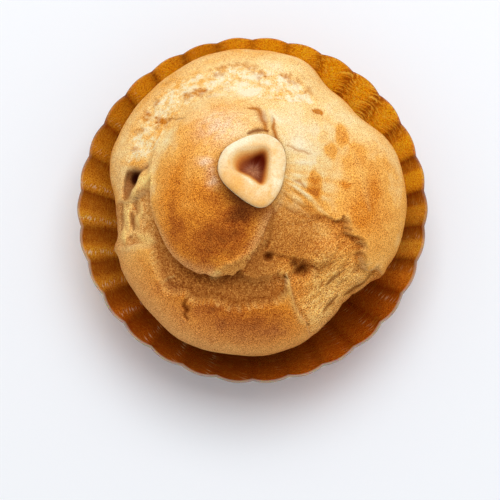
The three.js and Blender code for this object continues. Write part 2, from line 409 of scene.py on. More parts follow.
def nutMaterial():
    material, tree, shader = newMaterial("blanchedHazelnut")
    place = objectPlace(tree)
    hollow = attribute(tree, "hollow")
    fine = placeGrain(tree, place, *nutLook["grain"])
    blotchy = stretch(tree, noiseMap(tree, place, *nutLook["blotches"]), *nutLook["blotchEdge"])
    flesh = tint(tree, blotchy, rgb(*nutLook["flesh"]), rgb(*nutLook["tan"]))
    flesh = tintByMasks(tree, flesh, nutLook["fleshTints"])
    inHollow = maths(tree, "MULTIPLY", hollow, nutLook["hollowFirm"], clamp=True)
    colour = tint(tree, inHollow, flesh, ramp(tree, hollow, nutLook["deep"]))
    colour = tintByMasks(tree, colour, nutLook["hollowTints"])
    plug(tree, shader, {
        "Base Color": tint(tree, 1, colour, fine["Tone"], "MULTIPLY"),
        "Normal": bumpOf(tree, fine["Height"], *nutLook["bump"]), **nutLook["sockets"]})
    return material


hazelnutHalf = makeNut()
hazelnutHalf.data.materials.append(nutMaterial())
print("nut made:", len(hazelnutHalf.data.polygons), "faces")


# choux bun: the same body, crown, tear and swell as the solid, with finer edges
# noise is given as height, size and layer, or as height, size and a layer each for x and y
bun = {
    "centre": (0.95, 1.1, 19.5), "girth": 31.2, "upper": 19, "lower": 20, "fullness": 2.15, "cuts": 10,
    "seat": 0.8, "topDensity": 0.35, "swellFade": 3, "reliefFull": 0.4,
    "girthSwells": [  # direction, spread, swell
        (122, 50, 1.5), (136, 8, -0.35), (42, 15, -3.4), (59, 8.5, -2), (62, 14, -0.45), (181, 11, -2.1),
        (193, 9, -1.4), (240, 13, 0.95), (250, 38, 0.8), (255, 10, 0.5), (297, 9, -1.3), (312, 10, -0.75),
        (313, 14, -3), (328, 9, -0.8), (330, 2.6, 0.5), (198.5, 2.2, 0.8),
    ],
    "lumps": [(0.55, 11, 2.9), (0.16, 4.5, 2.9)], "flankTo": 0.5, "flankAt": (235, 60),
    "clearOfSeat": (1.5, 4), "smoothBy": 0.5, "smoothTimes": 5,
    "rough": [("crumb", 0.6, 0.2), ("crust", 0.8, 0.12)],  # where, size and height
}
crown = {
    "x": -6.5, "y": 2, "halfX": 13.3, "halfY": 18, "lip": 1.7, "rise": 4.6, "roundOver": 0.2,
    "soft": (95, 80), "softWidth": 0.5, "trim": 0.22, "trimAt": (-42, 24),  # direction, spread
    "bulge": 0.5, "bulgeAt": 0.97, "bulgeHalf": 0.08, "firmEdge": 0.03, "softEdge": 0.2, "footHalf": 0.2143,
    "teethLeast": 0.1, "teethMore": 0.45, "teethAt": (-78, 22), "teeth": (1.3, 5.1, 9.6),
    "wander": (0.4, 5, 0.7, 14.3), "apex": (-1.2, 3, 11), "apexRise": 2.4,
    # paler crust with painted sheen along the crown's lower lip, at the front
    "paleLipAt": 0.95, "paleLipHalf": 0.0933, "paleLipFront": (-4, 3),
    "sideEdge": 0.3, "sideShake": (0.5, 1.4, 3.3, 8),
    "tornSide": [
        (-7.4, -15.2), (-4.1, -14.3), (-1.4, -12.9), (1.1, -11.3), (3, -9.4), (3.6, -5.7), (5, -5),
        (5.5, -9), (3.6, -13), (-2, -16.4), (-6, -17.2),
    ],
}
tear = {  # torn crust round the crown's foot, seen from above
    "depth": 1.6, "footDepth": 1.1, "edge": 0.14, "curl": 0.22, "curlReach": 0.8,
    "soft": (10, -1, 5.5), "softWidth": 3, "wander": (0.3, 3.5, 0.7, 14.3),
    "teethLeast": 0.2, "teethMore": 0.4, "teethAt": (20, -7, 7), "teeth": (0.8, 5.1, 9.6),
    "fadeBack": (-5.5, -1), "fadeRight": (12, 17), "fadeLeft": (-2, 3), "downTo": (-0.3, -0.1),
    "lipIn": 0.2, "lipOut": 0.32, "lipLeast": 0.85, "lipPatches": (0.9, 2.2, 3.1), "lipPale": 0.5,
    "shade": 0.42, "shadeAt": -0.5, "shadeHalf": 0.35, "shadeFrom": (-21.5, -18.5), "shadeGap": (7, -18, 3),
    "footShade": 0.7, "footShadeFront": (-9, -5),
    "points": [
        (-19.5, 3.4), (-21.7, 2), (-22.9, 1.7), (-25.6, -0.3), (-29, 0), (-31, -4.4), (-30.5, -9),
        (-28, -9.1), (-25.6, -9.5), (-23.3, -9.7), (-20.7, -11), (-20.4, -13.2), (-19.1, -16.4),
        (-17.7, -19), (-15.6, -19.7), (-14, -19.6), (-12.3, -21.3), (-9.1, -21.4), (-6.5, -22),
        (-3.8, -23.1), (-0.6, -22.8), (1.3, -22.1), (3.3, -22.1), (5.6, -21), (6.6, -19.6), (7.1, -16.8),
        (7.7, -19), (8.5, -21.7), (9.8, -24.5), (11.4, -26), (14, -30.5), (23, -28), (30, -19),
        (28.5, -15), (26.6, -14.2), (25.4, -13.6), (23.3, -14.3), (22.9, -12.9), (22.7, -11.2),
        (23.1, -10.2), (21.8, -8.5), (20.3, -7.9), (19.6, -6), (19.1, -4.4), (18.2, -4.2), (16.8, -5),
        (15, -4), (14, -3.4), (12.7, -2.6), (11, 1), (6, 2), (-10, 2),
    ],
}
ball = {  # smooth swell in the tear, with a ledge along its lower edge
    "lip": 2.2, "rise": 1.8, "roundOver": 1, "domeOver": 6, "lipFront": (-11, -7), "steps": 4,
    "points": [
        (1.4, -8.6), (2.4, -11), (3.6, -12.2), (5.3, -12.6), (8.1, -12.8), (11.2, -13.3), (13.2, -14),
        (16, -12.4), (17.6, -8.4), (16, -4), (10, -1), (4, -2),
    ],
}
mouth = {  # open crack at the left, brown and painted shade inside
    "edge": 0.5, "outer": 0.1, "above": (19, 22), "depth": 2.2, "shallow": 0.3, "deepens": (0, 3),
    "deepest": (-23.8, 4.7, 1.5), "deepBy": 2.2, "brownAndShade": 0.76, "darker": 0.2, "black": (0.25, 0.75),
    "smoothHalf": 0.9,
    "points": [
        (-20.7, 7), (-21.1, 6), (-22.2, 5.5), (-22.9, 5.2), (-23.2, 4.5), (-23.6, 3.4), (-24.4, 2.1),
        (-25.1, 0.4), (-25.8, 0), (-26.5, -0.1), (-26.8, 0.7), (-26.7, 2), (-26.5, 4.2), (-26.1, 6),
        (-25.3, 6.4), (-24.3, 6.5), (-22.8, 6.2), (-21.6, 6.6),
    ],
}
crumbly = {  # paler, crumbly crust at the back
    "depth": 0.25, "edge": 0.3, "coastHalf": 0.7, "relief": [(0.34, 2.4, 3.7), (0.22, 1, 3.7)],
    "shakes": [(0.9, 2.6, 8.2, 12.9), (0.3, 0.9, 1.9, 7.7)],
    "points": [
        (-25.6, 7.5), (-24.9, 12.1), (-23, 17.2), (-20.6, 20.2), (-17.2, 24.2), (-13.3, 26), (-7.9, 26.6),
        (-3, 28.2), (1.9, 26.8), (6.7, 25.3), (11.1, 22.3), (13, 20), (10, 19), (6, 19.6), (2, 19.6),
        (-4.6, 20.2), (-10.6, 18.6), (-15.6, 15.2), (-19, 9),
    ],
}
crumb = {  # torn crumb: strands at the right, grains elsewhere
    "towards": 40, "strands": [(1.6, 6, 0.34), (0.7, 3, 0.26)],  # width, length and height
    "right": (2, 8), "calm": 0.6, "grains": [(0.3, 3.6, 20.2), (0.14, 1.3, 20.2), (0.1, 0.7, 20.2)],
}
seat = {  # crust round the nut, and the painted shadow of the nut on it
    "below": 0.35, "slope": 0.8, "soft": 0.35, "most": 30, "above": 34, "gap": 1.012, "inner": 0.94,
    "clear": 0.6, "shadeAt": (243, 48), "shadeHalf": 0.12, "shadeWider": 0.3, "shadeLeast": 0.25,
}
wrinkles = {
    "near": (10, -0.8, 6), "radius": 9, "pitch": 0.75, "length": 4, "layer": 2.2, "by": 0.3, "browner": 0.42,
}
marks = {  # a hole's sizes are shares of its half width
    "shake": (0.22, 1.2, 4.4, 9.1), "paleMost": 1.15, "holeInner": 0.45, "holeOuter": 1.15,
    "holeFront": 0.45, "holeShadeTo": 0.5, "holeBlack": 0.8, "blackUp": 0.3, "blackHalf": 0.5,
    "crackBlack": 0.3, "crackBlackFrom": (0.6, 1.1), "crackPower": 3,
}
holes = [  # x, y, half width, depth, darkness of brown and painted shade
    (3.1, -13, 1, 1.6, 0.9), (8.4, -14.3, 1.3, 1.3, 0.75), (10.1, -14.7, 1.5, 1.4, 0.8),
    (11.2, -25.2, 0.4, 0.6, 0.8), (3.8, -21.4, 0.6, 0.4, 0.5), (-13.6, -19.9, 0.5, 0.4, 0.5),
    (-25.1, -7.6, 0.7, 0.7, 0.35), (-13.1, -22.4, 0.8, 0.6, 0.2),
]
folds = [  # path, width, height, paleness, partly painted highlight on the ridge
    ([(-23, 3.9), (-21.6, 3.3), (-20.6, 2.4)], 1.5, 0.4, 1.4),
    ([(-23.4, 2.6), (-24.6, 0.7), (-25, -1.2)], 0.75, 0.9, 0.9),
    ([(-25.3, -1), (-25.6, -3.2), (-25.4, -5.8)], 0.6, 1, 0.9),
    ([(-26.2, 0), (-26.1, -4.4)], 0.5, 0.6, 0.8), ([(-23.6, -2.6), (-23, -5.4)], 0.6, 1.1, 0.7),
    ([(-22.6, -0.4), (-22.4, -3.6)], 0.5, 0.8, 0.5), ([(-26.5, -5.4), (-26.2, -8.2)], 0.9, 1.2, 0.9),
    ([(-23, -7.2), (-20, -8.9)], 1.4, 0.9, 0.7),
    ([(-28.6, -9), (-25.6, -9.5), (-22.4, -9.8)], 0.4, 0.5, 0.6),
    ([(-20.6, -11), (-20.2, -13.6)], 0.35, 0.4, 0.6),
    ([(7.2, -16.4), (7.5, -18.8), (8.3, -21.7), (9.6, -24.5), (11, -25.4)], 0.6, 0.55, 0.45),
    ([(5.6, -20.6), (7, -19.4)], 0.6, 0.3, 0.6), ([(12.6, -14.4), (13.1, -18.4)], 0.7, 0.5, 0.35),
    ([(-18.6, -17), (-15.9, -15.7)], 0.3, 0.35, 0.5),
    ([(2.6, 17.2), (3.3, 14.3), (3.6, 12.2)], 0.6, 0.5, 0.7),
    ([(20.2, 9.6), (22.4, 3.4), (23.6, -2.5)], 0.9, 0.25, 0.25),
    ([(20.4, -8.4), (22.6, -9.4)], 0.35, 0.3, 0.4), ([(19, -3.6), (19.9, -6.2)], 0.35, 0.3, 0.4),
    ([(-9.4, 4.9), (-9, 3.6)], 0.7, 0.3, 0.3), ([(-6.6, 0.2), (-7.4, -0.6)], 0.8, 0.3, 0.2),
    ([(-7.2, -15.6), (-4.1, -14.3), (-1.4, -12.9), (1.1, -11.3), (3.2, -9.4), (4, -5.7)], 0.7, 0.4, 0.12),
    ([(-8.4, -16.2), (-6.2, -15.9)], 0.6, 0.5, 0.5),
]
cracks = [  # path, width, depth, darkness of brown and painted shade
    ([(-24.8, -2.4), (-24.6, -4.3), (-24.2, -5.8)], 0.45, 1, 0.75),
    ([(-26.9, -0.6), (-26.9, -3.1), (-27, -5.4)], 0.4, 0.7, 0.5),
    ([(-23.6, 1.6), (-23.9, -0.6), (-23.6, -3.2)], 0.45, 0.8, 0.5), ([(-14.1, -19.2), (-13.4, -20.5),
    (-14, -21.5), (-13.3, -22.6), (-13.9, -23.4), (-13, -24.5)], 0.45, 0.9, 0.9),
    ([(-0.8, 17.2), (1.1, 16.8), (1.8, 15.2), (2.5, 12.7), (3, 11.2)], 0.4, 0.2, 0.3),
    ([(3.9, 15.2), (4.2, 12.2), (4.6, 10.1), (6, 8.3)], 0.4, 0.2, 0.3),
    ([(-0.9, 11), (0.9, 11.7), (3, 11.6)], 0.6, 0.2, 0.85),
    ([(6.7, 8.6), (9.5, 7.9), (11.7, 7.6)], 0.32, 0.15, 0.1),
    ([(8.1, 2), (9.3, 1.6), (10.5, 0.6)], 0.32, 0.2, 0.15),
    ([(5.5, -1), (9.8, -3), (12.5, -3.2)], 0.32, 0.22, 0.35),
    ([(4.9, -3), (8.2, -4.6), (12, -5.1)], 0.32, 0.22, 0.35),
    ([(7.1, 0), (9.4, -0.8), (12, -2)], 0.3, 0.2, 0.3),
    ([(6.6, -7.1), (10.9, -6.1), (14.7, -4.4)], 0.3, 0.2, 0.3),
    ([(4.2, -3.6), (3.9, -6), (3.4, -9), (2.8, -11.6)], 0.55, 0.5, 0.55),
    ([(-17, 16.2), (-15.4, 15.5), (-13.4, 15.6)], 0.25, 0.25, 0.5),
    ([(14.8, -17.5), (17, -15.5), (18.9, -14.2)], 0.38, 0.45, 0.76),
    ([(12.8, -16.2), (13.8, -14.4), (16.4, -13)], 0.5, 0.35, 0.4),
    ([(14.7, -22.2), (16, -20.6), (17.5, -19.2)], 0.4, 0.55, 0.84),
    ([(18.8, -18.9), (21.2, -17.2), (23.2, -15.8)], 0.38, 0.45, 0.8),
    ([(23.2, -15.8), (24.3, -14.6), (25.9, -13.4)], 0.4, 0.5, 0.7),
    ([(17.3, -14.4), (19.7, -13)], 0.4, 0.5, 0.5), ([(20.2, -14.9), (22.4, -13.6)], 0.4, 0.5, 0.5),
    ([(13.3, -18.2), (14.5, -16.6)], 0.4, 0.4, 0.4), ([(21, -11.3), (22.7, -10)], 0.4, 0.4, 0.4),
    ([(17, -17.6), (19.4, -15.8)], 0.35, 0.4, 0.35), ([(11.4, -21.6), (12.8, -19.6)], 0.35, 0.35, 0.3),
    ([(3.4, -12.4), (5.3, -13), (8.1, -13.2), (11.2, -13.8), (13, -14.4)], 0.5, 0.5, 0.6), ([(23, -14.3),
    (22.5, -12.9), (22.3, -11.2), (22.7, -10.1), (21.5, -9.2), (20.1, -8.1), (19.3, -6.3), (18.4, -4.9),
    (17.8, -5), (16.5, -5.2), (14.2, -4.2)], 0.4, 0.22, 0.5),
]


def bunBody(piece):  # direction of each vertex from the bun's centre and its reach there
    d = getPlaces(piece)
    d /= np.linalg.norm(d, axis=1)[:, None]
    d[:, 2] += bun["topDensity"]
    d /= np.linalg.norm(d, axis=1)[:, None]
    flat = np.hypot(d[:, 0], d[:, 1])
    swells = allFacing(degreesOf(d[:, 0], d[:, 1]), bun["girthSwells"])
    girth = bun["girth"] + swells * flat ** bun["swellFade"]
    upright = np.abs(d[:, 2]) / np.where(d[:, 2] > 0, bun["upper"], bun["lower"])
    body = ((flat / girth) ** bun["fullness"] + upright ** bun["fullness"]) ** (-1 / bun["fullness"])
    return d, body


def roundEdge(share, width):  # 1 inside, falling to 0 at share 1 like the side of a bun
    over = np.clip((share - 1 + width) / width, 0, 1)
    return np.sqrt(1 - over ** 2)


def crownShape(plain):
    degrees = fromMiddle(crown, plain)[1]
    teeth = crown["teethLeast"] + crown["teethMore"] * facing(degrees, *crown["teethAt"])
    x, y = shaken(plain, (teeth, *crown["teeth"]), crown["wander"])
    share = reach(crown, x, y) * (1 + crown["trim"] * facing(degrees, *crown["trimAt"]))
    soft = facing(degrees, *crown["soft"])
    edge = blend(roundEdge(share, crown["roundOver"]), inside(share - 1, crown["softWidth"]), soft)
    height = edge * (crown["lip"] + crown["rise"] * np.maximum(0, 1 - share ** 2))
    height += crown["apexRise"] * spot(x, y, *crown["apex"])
    return height, share, soft


def shapeBody(piece):  # body and crown
    d, body = bunBody(piece)
    plain = np.array(bun["centre"]) + d * body[:, None]
    upper = rise(d[:, 2], 0, bun["reliefFull"])
    height, share, soft = crownShape(plain)
    firm = 1 - soft
    lumps = sum(ruffle(plain, *lump) for lump in bun["lumps"])
    places = plain + d * (upper * height + lumps)[:, None]
    outward = plain[:, :2] - (crown["x"], crown["y"])
    outward /= np.linalg.norm(outward, axis=1)[:, None]
    lean = crown["bulge"] * upper * bell(share - crown["bulgeAt"], crown["bulgeHalf"]) * firm
    places[:, :2] += outward * lean[:, None]  # the lip hangs over
    onCrown = blend(inside(share - 1, crown["firmEdge"]), inside(share - 1, crown["softEdge"]), soft)
    x, y = shaken(places, crown["sideShake"])
    side = inside(loopDistance(x, y, crown["tornSide"]), crown["sideEdge"]) * onCrown
    atFront = 1 - rise(plain[:, 1], *crown["paleLipFront"])
    atFlank = facing(degreesOf(d[:, 0], d[:, 1]), *bun["flankAt"])
    masks = {
        "upper": upper, "onCrown": onCrown, "crownSide": side * upper,
        "flank": (1 - rise(d[:, 2], 0, bun["flankTo"])) * atFlank,
        "foot": bell(np.maximum(share - 1, 0), crown["footHalf"]) * firm,
        "paleLipAndSheen": bell(share - crown["paleLipAt"], crown["paleLipHalf"]) * firm * upper * atFront,
    }
    return places, d, masks


def strandHeight(x, y):
    lean = math.radians(crumb["towards"])
    along, across = x * math.cos(lean) + y * math.sin(lean), y * math.cos(lean) - x * math.sin(lean)
    height = np.zeros(len(x))
    for width, length, by in crumb["strands"]:
        height += ruffle(np.stack([along / length, across / width, 0 * x], 1), by, 1, width)
    return height


def ballHeight(x, y):
    within = -loopDistance(x, y, ball["points"], ball["steps"])
    edge = roundEdge(1 - within / ball["roundOver"], 1) * (within > 0)
    dome = 1 - (1 - np.clip(within / ball["domeOver"], 0, 1)) ** 2
    return ball["lip"] * edge * (1 - rise(y, *ball["lipFront"])) + ball["rise"] * dome, dome


def tearCrust(places, d, masks):
    flat = places * (1, 1, 0)
    teeth = tear["teethLeast"] + tear["teethMore"] * spot(*places[:, :2].T, *tear["teethAt"])
    x, y = shaken(places, tear["wander"], (teeth, *tear["teeth"]))
    toTear = loopDistance(x, y, tear["points"])
    soft = spot(x, y, *tear["soft"])
    faded = rise(y, *tear["fadeBack"]) * (1 - rise(x, *tear["fadeRight"])) * rise(x, *tear["fadeLeft"])
    torn = (1 - rise(toTear, -tear["edge"] - tear["softWidth"] * soft, tear["edge"])) * (1 - faded)
    offCrown = 1 - masks["onCrown"]
    isOpen = torn * offCrown * masks["upper"]
    masks["torn"] = torn * offCrown * rise(d[:, 2], *tear["downTo"])
    swell, onBall = ballHeight(x, y)
    onRight = rise(x, *crumb["right"])
    masks["fibrous"] = onRight * (1 - crumb["calm"] * onBall)
    grains = sum(ruffle(flat, *sizes) for sizes in crumb["grains"])
    rough = masks["fibrous"] * strandHeight(x, y) + (1 - crumb["calm"] * onRight) * grains
    height = masks["torn"] * rough + isOpen * (swell - tear["depth"] - tear["footDepth"] * masks["foot"])
    curl = (1 - torn) * offCrown * (1 - soft) * (1 - faded) * masks["upper"]
    height += curl * tear["curl"] * bell(toTear, tear["curlReach"])
    lip = rise(toTear, -tear["lipIn"], 0) * (1 - rise(toTear, 0, tear["lipOut"])) * curl
    masks["tornLip"] = lip * np.clip(tear["lipLeast"] + ruffle(flat, *tear["lipPatches"]), 0, 1)
    # painted shade along the foot of the torn edge and under the crown's lip
    clear = rise(x, *tear["shadeFrom"]) * (1 - spot(x, y, *tear["shadeGap"])) * (1 - soft)
    shade = bell(toTear - tear["shadeAt"], tear["shadeHalf"]) * clear
    shade += tear["footShade"] * masks["foot"] * (1 - rise(y, *tear["footShadeFront"]))
    masks["tornFoot"] = shade * isOpen
    places += d * height[:, None]


def crumbleBack(places, d, masks):  # sunken crumbly crust at the back, and wrinkles beside the nut
    flat = places * (1, 1, 0)
    x, y = shaken(places, *crumbly["shakes"])
    toCoast = loopDistance(x, y, crumbly["points"])
    plainCrust = (1 - masks["torn"]) * (1 - masks["onCrown"]) * masks["upper"]
    masks["crumbly"] = inside(toCoast, crumbly["edge"]) * plainCrust
    masks["coast"] = bell(toCoast, crumbly["coastHalf"]) * plainCrust
    relief = sum(ruffle(flat, *sizes) for sizes in crumbly["relief"])
    away, degrees = fromMiddle(nut, places)
    turns = np.radians(degrees) * wrinkles["radius"] / wrinkles["pitch"]
    lines = np.stack([turns, away / wrinkles["length"], 0 * away], 1)
    near = spot(*places[:, :2].T, *wrinkles["near"])
    masks["wrinkled"] = ruffle(lines, 1, 1, wrinkles["layer"]) * near * masks["upper"]
    height = masks["crumbly"] * (relief - crumbly["depth"]) + wrinkles["by"] * masks["wrinkled"]
    places += d * height[:, None]


def markCrust(places, masks):  # mouth, holes, folds and cracks, with brown and painted shade in them
    x, y = shaken(places, marks["shake"])
    upper = np.maximum(masks["upper"], masks["torn"])
    toMouth = loopDistance(x, y, mouth["points"])
    above = rise(places[:, 2], *mouth["above"])
    inMouth = (1 - rise(toMouth, -mouth["edge"], mouth["outer"])) * above
    deepest = spot(x, y, *mouth["deepest"])
    sunk = mouth["depth"] * blend(mouth["shallow"], 1, rise(y, *mouth["deepens"]))
    height = -inMouth * (sunk + mouth["deepBy"] * deepest)
    brownAndShade = np.maximum(inMouth * (mouth["brownAndShade"] + mouth["darker"] * deepest),
                      tear["shade"] * np.minimum(masks["tornFoot"], 1))
    deep = inMouth * rise(deepest, *mouth["black"])
    # paler crust with painted highlight along the torn lip and on the folds' ridges
    paleAndHighlight = tear["lipPale"] * masks["tornLip"]
    for px, py, half, depth, shade in holes:
        away = np.hypot(x - px, y - py)
        pit = (1 - rise(away, marks["holeInner"] * half, marks["holeOuter"] * half)) * upper
        height -= depth * pit
        toBack = rise(y - py, -half, marks["holeShadeTo"] * half)
        brownAndShade = np.maximum(brownAndShade, shade * pit * blend(marks["holeFront"], 1, toBack))
        black = spot(x, y, px, py + marks["blackUp"] * half, marks["blackHalf"] * half) * upper
        deep = np.maximum(deep, marks["holeBlack"] * shade * black)
    for path, width, by, light in folds:
        ridge = stroke(x, y, path, width) * upper * (1 - inMouth)
        height += by * ridge
        paleAndHighlight = np.maximum(paleAndHighlight, light * ridge)
    for path, width, depth, shade in cracks:
        groove = stroke(x, y, path, width) * upper
        height -= depth * groove
        brownAndShade = np.maximum(brownAndShade, shade * groove)
        black = marks["crackBlack"] * rise(shade, *marks["crackBlackFrom"])
        deep = np.maximum(deep, black * groove ** marks["crackPower"])
    masks.update({"brownAndShade": brownAndShade, "deep": deep, "paleAndHighlight": np.minimum(paleAndHighlight, marks["paleMost"]) * (1 - brownAndShade),
                  "steep": bell(toMouth, mouth["smoothHalf"]) * above})
    places[:, 2] += height


def aroundNut(places):  # 1 on the nut's outline, less inside it, and the direction from its middle
    away, degrees = fromMiddle(nut, places)
    return away / nutReach(degrees), degrees


def raiseSeat(places):  # crust that has risen round the nut, up to its outline
    lean = math.tan(math.radians(nut["tiltX"])) * (places[:, 1] - nut["y"])
    lean -= math.tan(math.radians(nut["tiltY"])) * (places[:, 0] - nut["x"])
    beyond = np.maximum(aroundNut(places)[0] - 1, 0) * nut["radius"]
    lack = nut["z"] + lean - seat["below"] - seat["slope"] * beyond - places[:, 2]
    lack = np.clip(lack / seat["soft"], -seat["most"], seat["most"])
    places[:, 2] += seat["soft"] * np.log1p(np.exp(lack)) * (places[:, 2] > seat["above"])


def pressSeat(places):  # crust closes on the nut and stays under it; returns the painted shadow of the nut on the crust round it
    side, degrees = aroundNut(places)
    onTop = places[:, 2] > seat["above"]
    closing = onTop & (side > seat["inner"]) & (side < seat["gap"])
    middle = np.array([nut["x"], nut["y"]])
    grow = np.where(closing, seat["gap"] / np.maximum(side, seat["inner"]), 1)
    places[:, :2] = middle + (places[:, :2] - middle) * grow[:, None]
    sunk = nut["depth"] * np.sqrt(np.maximum(0, 1 - np.minimum(side, 1) ** 2))
    under = nut["z"] - seat["clear"] - sunk
    places[:, 2] = np.where((side <= seat["inner"]) & (places[:, 2] > under), under, places[:, 2])
    below = facing(degrees, *seat["shadeAt"])
    shade = bell(np.maximum(side - 1, 0), seat["shadeHalf"] + seat["shadeWider"] * below)
    return shade * onTop * blend(seat["shadeLeast"], 1, below)


# browning of the crust, seen from above
baking = {
    "base": 0.4, "sides": 0.06, "crumbly": 0.1, "coast": 0.06, "shake": (0.5, 1.6, 2.6, 7.3),
    "patchFrom": (0.2, 0.7), "fleckBy": 1.2, "fleckInner": 0.3, "fleckOuter": 1.5, "spotDepth": 0.06,
    "sheenAbove": 30, "sheenLeast": 0.8, "sheenPatches": (0.8, 1.2, 6.5),
}
tones = [  # x, y, half width, half depth, change of browning; those just below and left of the nut add its painted shadow
    (-8, -3, 10, 12, 0.2), (-14, 2, 5, 8, 0.05), (-8, -11, 9, 7, 0.4), (-5.5, 12.5, 5, 5, -0.08),
    (0, -4.6, 4.5, 2.2, 0.2), (-13, 9, 4, 6, -0.06), (-24, 7.6, 3, 1.4, 0.14),
    (-22.6, -9.4, 3.4, 1.6, -0.2), (24, 4.5, 5, 8, 0.04), (0, -27, 17, 5, 0.5), (-17, -22, 6, 6, 0.22),
    (6.5, -21.5, 3, 3, 0.12), (20, -6, 5, 5, 0.06), (-28, 12, 6, 13, -0.22), (31, 9, 4, 9, -0.22),
    (-2, 30, 16, 4, -0.09), (8.5, 15, 8, 7, -0.26), (10.5, 6.5, 5, 6, -0.2), (-8, 22, 14, 5, -0.1),
    (-24, -15, 5, 8, 0.2), (22, -2, 4, 5, 0.16), (27, -4, 6, 6, 0.13), (3, 15, 2.4, 2, -0.2),
    (4.6, 19.8, 2, 1.6, 0.1), (-0.2, 20.6, 2.6, 3.6, -0.16), (-3.3, 11.4, 2.5, 2, -0.1),
    (-3, 27.6, 8, 2.2, -0.1), (12.8, 16.4, 3, 2, 0.1), (26, 8, 4.5, 5, 0.11), (-8, -22.6, 6, 1.6, 0.2),
    (-2.6, -9.4, 2.6, 4, 0.14), (-8, -1.5, 3, 2, 0.12), (-10.4, -13.5, 2, 2, 0.08),
    (-3.3, -5, 2.2, 1.8, 0.16), (3, -4.7, 1.6, 1.6, 0.2), (-9.7, 15.4, 2.6, 2, -0.12),
    (-16.4, 10.6, 2, 3.4, -0.12), (-6.2, -7, 2.6, 2.2, -0.05), (-6, -13.8, 2.2, 1.6, -0.12),
    (-27, -8, 2.5, 2.5, -0.2), (-0.1, -22.5, 3, 1.5, 0.12), (-6.6, -25.5, 3, 2, 0.1),
    (-19.7, -18.8, 2.5, 2.5, 0.12), (-19.5, 10.2, 2.5, 3.6, -0.12), (9.4, 8.5, 2.6, 2.6, -0.12),
]
tornTones = [  # the same for the torn crumb alone
    (17, -15, 7, 6, -0.34), (13, -4.2, 2.6, 1.8, 0.22), (7.5, -5, 3.5, 2.5, -0.16),
    (14.5, -7.6, 3, 2, -0.2), (11, -10.5, 4, 2, 0.15), (-23.5, -3, 4, 6, -0.34), (-17, -12, 4, 5, -0.16),
    (16.5, -19.8, 5, 3.6, -0.22), (13, -24.5, 5, 4, -0.5), (10, -21, 3, 3, -0.12),
    (22.9, -15.2, 3, 2.5, -0.26), (6.3, -16.4, 2, 1.6, -0.25), (-26.5, -5.5, 2.5, 3, -0.2),
]
patches = [  # the same with firmer edges
    (18, 13, 1.6, 2.8, 0.24), (15.8, 9, 1.5, 1.9, 0.22), (12.4, 1.8, 1.6, 3.5, 0.34),
    (18.9, 2.2, 1.1, 0.9, 0.2), (14.2, 11.8, 1.4, 1.6, 0.14), (21.5, 8.5, 2.2, 3.6, 0.12),
    (24, 1.5, 2.6, 4.5, 0.08),
]
arcs = [  # along the crown's edge: path, width, change of browning
    ([(-19.1, -1.4), (-18.3, 2.1), (-17.1, 7.8), (-14.3, 11.9), (-10, 15.9), (-3.9, 18.1),
    (-0.1, 17.7)], 1.9, 0.1), ([(-15.6, -8), (-16.2, -4), (-16, -0.5), (-15.4, 2.4), (-14.2, 5.6),
    (-12.6, 8.6), (-10.6, 11)], 2, 0.2),
    ([(-20.4, 0.5), (-19.6, 7.2), (-16.6, 12), (-13.1, 14.9), (-8.9, 19.1), (-2, 20.6)], 1.6, -0.08),
    ([(4, 27.5), (10, 26), (16, 21.5), (20, 17.5), (23, 14), (24, 10)], 3.2, -0.15),
]
flecks = [  # x, y, half width, strength
    (-13.2, 20.8, 0.9, 0.7), (-11.5, 21.6, 1.2, 0.9), (-9.9, 22.2, 1, 0.9), (-8.6, 20.8, 0.9, 0.7),
    (-10.4, 21.2, 1.3, 0.7), (-19.1, 15.5, 1.1, 1), (-18.3, 15.8, 0.9, 1), (-19.9, 20.7, 1, 0.7),
    (-21.3, 18.1, 0.9, 0.9), (-21.9, 17.6, 0.7, 0.7), (-23.5, 14.3, 1, 0.6), (-24.3, 10.6, 0.9, 0.5),
    (-17.8, 25.1, 0.8, 0.5), (-12, 17.9, 0.8, 0.8), (-7.1, 25.7, 0.8, 0.7), (-6.3, 27.4, 0.7, 0.7),
    (-3.4, 28.3, 0.8, 0.6), (-1.4, 28.3, 0.7, 0.6), (0.5, 27.5, 0.8, 0.6), (1.9, 25.8, 0.9, 0.8),
    (6.7, 25.4, 0.8, 0.7), (8.3, 24, 0.9, 0.7), (11.3, 22.4, 0.8, 0.6),
]
strew = {  # grains in each fleck, and loose ones on the crumbly crust
    "seed": 5, "least": 3, "more": 5, "spreadX": 0.6, "spreadY": 0.45,
    "size": (0.3, 0.6), "strength": (0.5, 1), "loose": 60,
    "looseIn": [(-24, 17), (9, 27), (0.25, 0.45), (0.1, 0.3)],  # x, y, size, strength
}
stains = [  # brown, along the cracks round the nut: path, width, strength
    ([(-0.6, 17.1), (1.1, 16.6), (1.7, 15.2), (2.4, 12.9), (2.8, 11.6)], 0.8, 0.85),
    ([(4, 14.6), (4.3, 12.2), (4.7, 10.1), (5.6, 8.8)], 0.55, 0.9),
    ([(6.7, 8.6), (9.5, 7.9), (11.7, 7.6)], 0.4, 0.5), ([(8.1, 2), (9.3, 1.6), (10.5, 0.6)], 0.4, 0.7),
]
sheenSpots = [  # painted sheen, pinkish and pale, on the crown: x, y, half width, half depth, strength
    (-6.3, 12.8, 4.4, 3.9, 0.8), (-9.5, 5.3, 1.7, 1, 0.85), (-7.9, 1.3, 1.1, 1.2, 0.75),
    (-8.4, 3.3, 1.1, 1.7, 0.45),
]
dot = {  # crisp brown dot at the back right
    "x": 13.2, "y": 17.4, "halfX": 1.3, "halfY": 0.9, "fill": 0.85, "edge": (0.8, 1.05),
    "rim": 0.15, "rimAt": 0.85, "rimHalf": 0.2,
}


